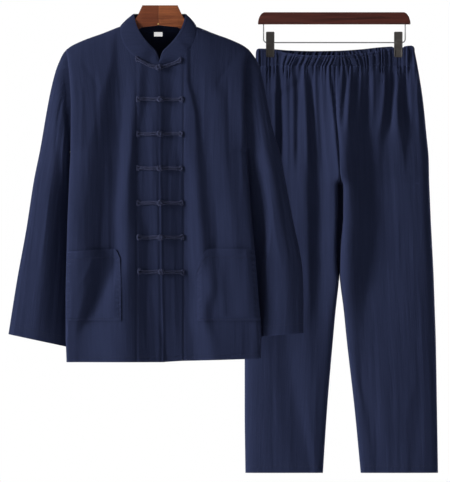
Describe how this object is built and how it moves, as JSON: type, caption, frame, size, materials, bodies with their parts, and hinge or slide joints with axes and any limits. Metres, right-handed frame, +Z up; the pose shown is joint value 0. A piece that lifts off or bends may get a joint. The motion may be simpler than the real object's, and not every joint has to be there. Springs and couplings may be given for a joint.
{
  "type": "tai chi uniform on a wooden jacket hanger and a clip trouser hanger",
  "caption": "Loose jacket with standing collar, knotted frog closures and patch pockets on a wooden hanger, beside gathered-waist trousers clipped to a bar hanger.",
  "frame": {"origin": "top centre of the jacket's hanger, where its hook would stand", "axes": "+Z up, -Y to the garment's front, +X to the viewer's right, which is the wearer's left"},
  "size_m": [0.9898, 0.1697, 1.0765],
  "materials": {
    "navy_cloth": "matt slubbed cotton and linen weave, dark navy",
    "navy_cord": "rolled navy cloth cord, sewn and knotted",
    "label_white": "blank woven white tape",
    "orange_wood": "orange-brown stained wood, satin lacquer",
    "red_wood": "dark red-brown stained wood, satin lacquer",
    "steel_wire": "bright drawn wire",
    "grey_plastic": "dark grey moulded plastic"
  },
  "bodies": {
    "root": {"collar": "navy_cloth", "jacket_front_right": "navy_cloth", "jacket_front_left": "navy_cloth", "jacket_back": "navy_cloth", "sleeve_right": "navy_cloth", "sleeve_left": "navy_cloth", "pocket_right": "navy_cloth", "pocket_left": "navy_cloth", "trousers_front_right": "navy_cloth", "trousers_front_left": "navy_cloth", "trousers_back_right": "navy_cloth", "trousers_back_left": "navy_cloth", "waistband": "navy_cloth", "knot_1": "navy_cord", "knot_2": "navy_cord", "knot_3": "navy_cord", "knot_4": "navy_cord", "knot_5": "navy_cord", "knot_6": "navy_cord", "knot_7": "navy_cord", "frog_arm_right_1": "navy_cord", "frog_arm_right_2": "navy_cord", "frog_arm_right_3": "navy_cord", "frog_arm_right_4": "navy_cord", "frog_arm_right_5": "navy_cord", "frog_arm_right_6": "navy_cord", "frog_arm_right_7": "navy_cord", "frog_arm_left_1": "navy_cord", "frog_arm_left_2": "navy_cord", "frog_arm_left_3": "navy_cord", "frog_arm_left_4": "navy_cord", "frog_arm_left_5": "navy_cord", "frog_arm_left_6": "navy_cord", "frog_arm_left_7": "navy_cord", "neck_label": "label_white", "jacket_hanger": "orange_wood", "trouser_hanger_bar": "red_wood", "trouser_hanger_wire": "steel_wire", "clip_right_front": "grey_plastic", "clip_right_back": "grey_plastic", "clip_left_front": "grey_plastic", "clip_left_back": "grey_plastic"}
  },
  "joints": []
}
